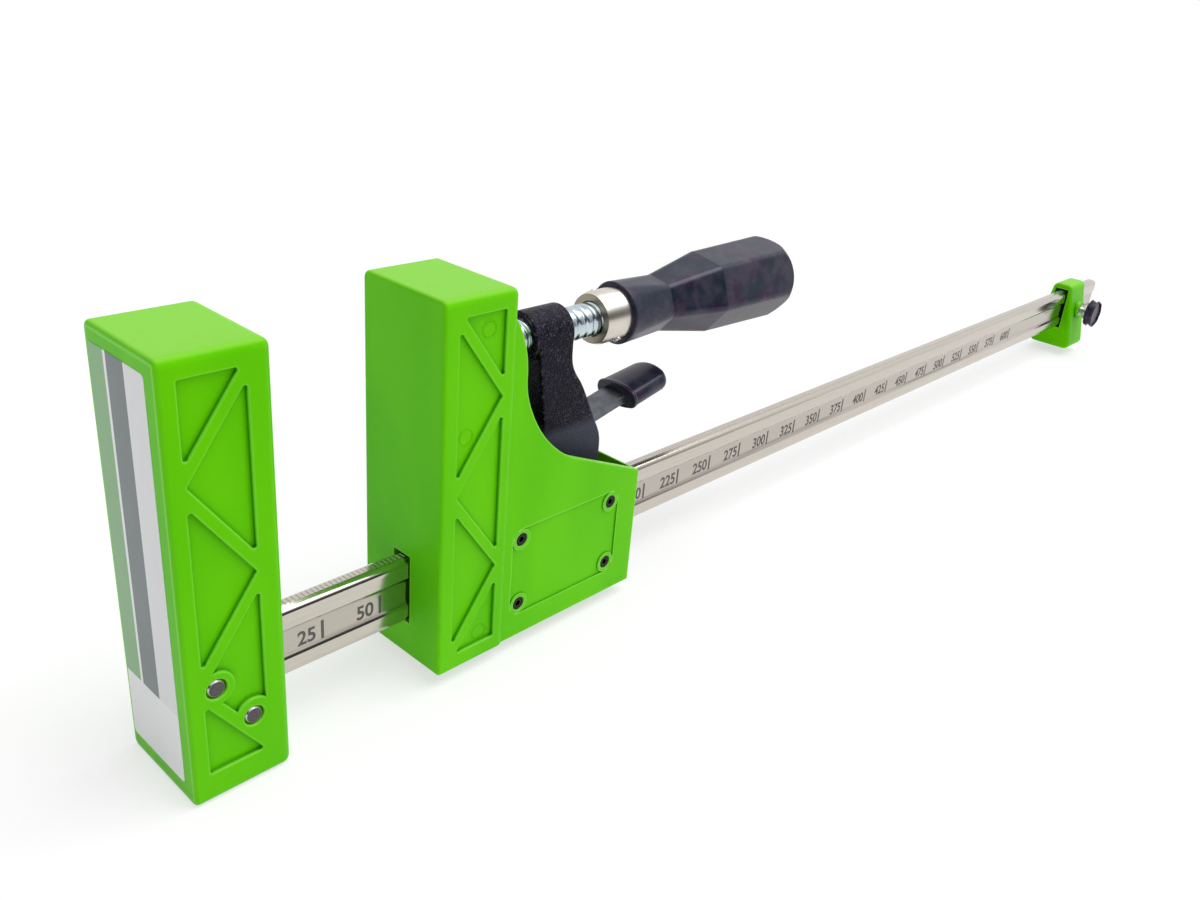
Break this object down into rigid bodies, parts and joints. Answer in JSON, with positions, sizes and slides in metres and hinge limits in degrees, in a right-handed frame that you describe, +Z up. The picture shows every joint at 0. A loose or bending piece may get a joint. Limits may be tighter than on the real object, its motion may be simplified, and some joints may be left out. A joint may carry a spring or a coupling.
{
  "type": "panel clamp",
  "caption": "Parallel-jaw panel clamp: flat steel rail with a tall fixed jaw, a sliding jaw driven by a handled spindle, a release trigger and an end stop.",
  "frame": {"origin": "centre of the fixed jaw's clamping face", "axes": "+X along the rail from the fixed jaw's clamping face to the rail's free end; +Y across the jaws; +Z up, from the jaws' feet to their tops"},
  "size_m": [0.7926, 0.0485, 0.155],
  "materials": {
    "rail_steel": "nickel-plated, fine lengthwise grain",
    "green_plastic": "satin moulded plastic",
    "black_casting": "black painted rough casting",
    "pin_steel": "satin",
    "spring_steel": "satin",
    "strap_steel": "zinc-plated",
    "spindle_zinc": "blue-white zinc plate",
    "nickel": "nickel plate",
    "black_plastic": "glossy",
    "screw_black": "black oxide",
    "white_nylon": "satin",
    "brass": "turned"
  },
  "bodies": {
    "frame": {"rail": "rail_steel", "fixed_jaw_cover": "green_plastic", "fixed_jaw_core": "black_casting", "fixed_jaw_back_plate": "green_plastic", "fixed_jaw_pins": "pin_steel"},
    "slider": {"slider_arm": "black_casting", "trigger_pin": "pin_steel", "trigger_spring": "spring_steel"},
    "trigger": {"trigger_lever": "strap_steel", "trigger_cap": "black_plastic"},
    "moving_jaw": {"moving_jaw_cover": "green_plastic", "moving_jaw_core": "black_casting", "spindle_retainer": "pin_steel", "retainer_screws": "screw_black", "glide_plate_near": "white_nylon", "glide_plate_far": "white_nylon", "cover_screws_near": "screw_black", "cover_screws_far": "screw_black"},
    "spindle_assembly": {"spindle": "spindle_zinc", "ferrule": "nickel", "ferrule_pin": "nickel", "handle": "black_plastic"},
    "stop": {"end_stop": "green_plastic", "thumb_screw_insert": "brass"},
    "pad": {"thumb_screw_pad": "pin_steel"},
    "thumb_screw_assembly": {"thumb_screw": "spindle_zinc", "thumb_knob": "black_plastic"}
  },
  "joints": [
    {"name": "jaw_slide", "type": "slide", "parent": "frame", "child": "slider", "axis": [1, 0, 0], "range_m": [-0.0474, 0.5095]},
    {"name": "jaw_advance", "type": "slide", "parent": "slider", "child": "moving_jaw", "axis": [-1, 0, 0], "range_m": [-0.015, 0.015]},
    {"name": "spindle_turn", "type": "hinge", "parent": "moving_jaw", "child": "spindle_assembly", "pos_m": [0.1, 0, 0.0478], "axis": [-1, 0, 0], "range_deg": [-1201, 1201]},
    {"name": "trigger_squeeze", "type": "hinge", "parent": "slider", "child": "trigger", "pos_m": [0.141, 0, -0.017], "axis": [0, -1, 0], "range_deg": [0, 10], "stiffness_Nm_per_rad": 0.5, "springref_deg": -11.46, "deforming": ["trigger_spring"]},
    {"name": "stop_slide", "type": "slide", "parent": "frame", "child": "stop", "axis": [1, 0, 0], "range_m": [0, 0.03]},
    {"name": "pad_feed", "type": "slide", "parent": "stop", "child": "pad", "axis": [0, -1, 0], "range_m": [0, 0.002]},
    {"name": "thumb_screw_turn", "type": "hinge", "parent": "pad", "child": "thumb_screw_assembly", "pos_m": [0.711, -0.012, -0.0429], "axis": [0, -1, 0], "range_deg": [0, 721]}
  ],
  "couplings": [
    {"joint": "spindle_turn", "follows": "jaw_advance", "rad_per_m": 1396.3},
    {"joint": "thumb_screw_turn", "follows": "pad_feed", "rad_per_m": 6283.2}
  ]
}
